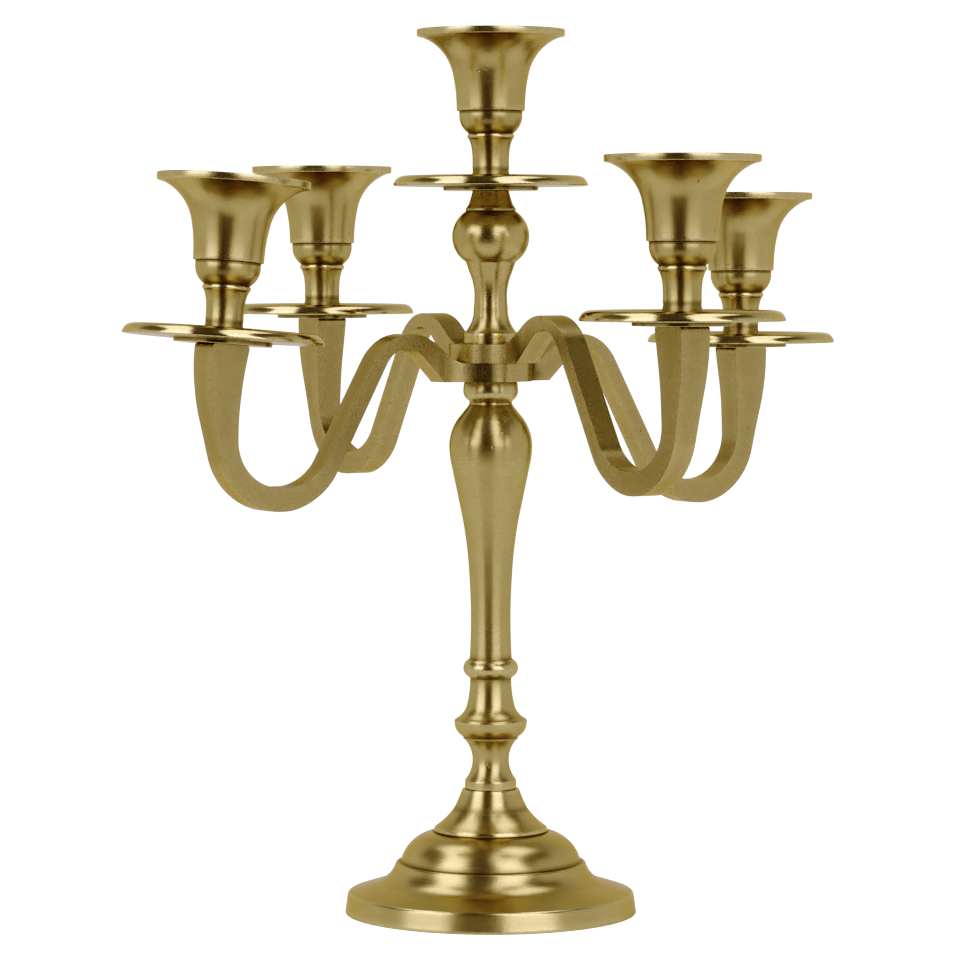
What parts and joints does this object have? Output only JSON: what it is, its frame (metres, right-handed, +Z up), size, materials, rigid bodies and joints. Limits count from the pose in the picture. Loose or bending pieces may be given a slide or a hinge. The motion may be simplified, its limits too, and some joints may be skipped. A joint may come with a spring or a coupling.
{
  "type": "tabletop candelabra",
  "caption": "Standing candelabra with turned stem, bell-shaped hollow foot and bent flat arms in two crossed pairs, each arm and the raised center carrying a drip pan and a flared candle cup.",
  "frame": {"origin": "on the table, at the centre of the foot, on the axis of the stem", "axes": "+Z up along the stem; +X along the lower arm pair towards the back right light; +Y along the upper arm pair towards the back left light"},
  "size_m": [0.3251, 0.3274, 0.35],
  "materials": {
    "brass": "satin, lightly aged, with turning marks",
    "steel": "plain zinc-grey"
  },
  "bodies": {
    "stand": {"base_foot": "brass", "base_washer": "steel", "base_bolt": "steel", "stem": "brass", "hub_bead": "brass"},
    "lower_arms": {"lower_arm_pair": "brass"},
    "upper_arms": {"upper_arm_pair": "brass"},
    "hub_rod": {"hub_stud": "steel"},
    "column": {"center_column": "brass"},
    "pan_center": {"drip_pan_center": "brass"},
    "rod_center": {"cup_stud_center": "steel"},
    "cup_center": {"candle_cup_center": "brass"},
    "pan_front_left": {"drip_pan_front_left": "brass"},
    "rod_front_left": {"cup_stud_front_left": "steel"},
    "cup_front_left": {"candle_cup_front_left": "brass"},
    "pan_front_right": {"drip_pan_front_right": "brass"},
    "rod_front_right": {"cup_stud_front_right": "steel"},
    "cup_front_right": {"candle_cup_front_right": "brass"},
    "pan_back_left": {"drip_pan_back_left": "brass"},
    "rod_back_left": {"cup_stud_back_left": "steel"},
    "cup_back_left": {"candle_cup_back_left": "brass"},
    "pan_back_right": {"drip_pan_back_right": "brass"},
    "rod_back_right": {"cup_stud_back_right": "steel"},
    "cup_back_right": {"candle_cup_back_right": "brass"}
  },
  "joints": [
    {"name": "lower_arms_turn", "type": "hinge", "parent": "stand", "child": "lower_arms", "pos_m": [0, 0, 0.2114], "axis": [0, 0, 1], "continuous": true},
    {"name": "upper_arms_turn", "type": "hinge", "parent": "lower_arms", "child": "upper_arms", "pos_m": [0, 0, 0.2188], "axis": [0, 0, 1], "range_deg": [-55, 55]},
    {"name": "hub_rod_travel", "type": "slide", "parent": "stand", "child": "hub_rod", "axis": [0, 0, 1], "range_m": [0, 0.01]},
    {"name": "column_unscrew", "type": "hinge", "parent": "hub_rod", "child": "column", "pos_m": [0, 0, 0.2262], "axis": [0, 0, 1], "range_deg": [0, 2890]},
    {"name": "pan_center_turn", "type": "hinge", "parent": "column", "child": "pan_center", "pos_m": [0, 0, 0.2866], "axis": [0, 0, 1], "continuous": true},
    {"name": "rod_center_travel", "type": "slide", "parent": "column", "child": "rod_center", "axis": [0, 0, 1], "range_m": [0, 0.008]},
    {"name": "cup_center_unscrew", "type": "hinge", "parent": "rod_center", "child": "cup_center", "pos_m": [0, 0, 0.2866], "axis": [0, 0, 1], "range_deg": [0, 2890]},
    {"name": "pan_front_left_turn", "type": "hinge", "parent": "lower_arms", "child": "pan_front_left", "pos_m": [-0.12318, 0, 0.22742], "axis": [0.0837, 0, 0.9965], "continuous": true},
    {"name": "rod_front_left_travel", "type": "slide", "parent": "lower_arms", "child": "rod_front_left", "axis": [0.0837, 0, 0.9965], "range_m": [0, 0.008]},
    {"name": "cup_front_left_unscrew", "type": "hinge", "parent": "rod_front_left", "child": "cup_front_left", "pos_m": [-0.12318, 0, 0.22742], "axis": [0.0837, 0, 0.9965], "range_deg": [0, 2890]},
    {"name": "pan_front_right_turn", "type": "hinge", "parent": "upper_arms", "child": "pan_front_right", "pos_m": [0, -0.1252, 0.2349], "axis": [0, 0, 1], "continuous": true},
    {"name": "rod_front_right_travel", "type": "slide", "parent": "upper_arms", "child": "rod_front_right", "axis": [0, 0, 1], "range_m": [0, 0.008]},
    {"name": "cup_front_right_unscrew", "type": "hinge", "parent": "rod_front_right", "child": "cup_front_right", "pos_m": [0, -0.1252, 0.2349], "axis": [0, 0, 1], "range_deg": [0, 2890]},
    {"name": "pan_back_left_turn", "type": "hinge", "parent": "upper_arms", "child": "pan_back_left", "pos_m": [0, 0.1252, 0.2349], "axis": [0, 0, 1], "continuous": true},
    {"name": "rod_back_left_travel", "type": "slide", "parent": "upper_arms", "child": "rod_back_left", "axis": [0, 0, 1], "range_m": [0, 0.008]},
    {"name": "cup_back_left_unscrew", "type": "hinge", "parent": "rod_back_left", "child": "cup_back_left", "pos_m": [0, 0.1252, 0.2349], "axis": [0, 0, 1], "range_deg": [0, 2890]},
    {"name": "pan_back_right_turn", "type": "hinge", "parent": "lower_arms", "child": "pan_back_right", "pos_m": [0.1252, 0, 0.2235], "axis": [0, 0, 1], "continuous": true},
    {"name": "rod_back_right_travel", "type": "slide", "parent": "lower_arms", "child": "rod_back_right", "axis": [0, 0, 1], "range_m": [0, 0.008]},
    {"name": "cup_back_right_unscrew", "type": "hinge", "parent": "rod_back_right", "child": "cup_back_right", "pos_m": [0.1252, 0, 0.2235], "axis": [0, 0, 1], "range_deg": [0, 2890]}
  ],
  "couplings": [
    {"joint": "column_unscrew", "follows": "hub_rod_travel", "rad_per_m": 5026.5},
    {"joint": "cup_center_unscrew", "follows": "rod_center_travel", "rad_per_m": 6283.2},
    {"joint": "cup_front_left_unscrew", "follows": "rod_front_left_travel", "rad_per_m": 6283.2},
    {"joint": "cup_front_right_unscrew", "follows": "rod_front_right_travel", "rad_per_m": 6283.2},
    {"joint": "cup_back_left_unscrew", "follows": "rod_back_left_travel", "rad_per_m": 6283.2},
    {"joint": "cup_back_right_unscrew", "follows": "rod_back_right_travel", "rad_per_m": 6283.2}
  ]
}
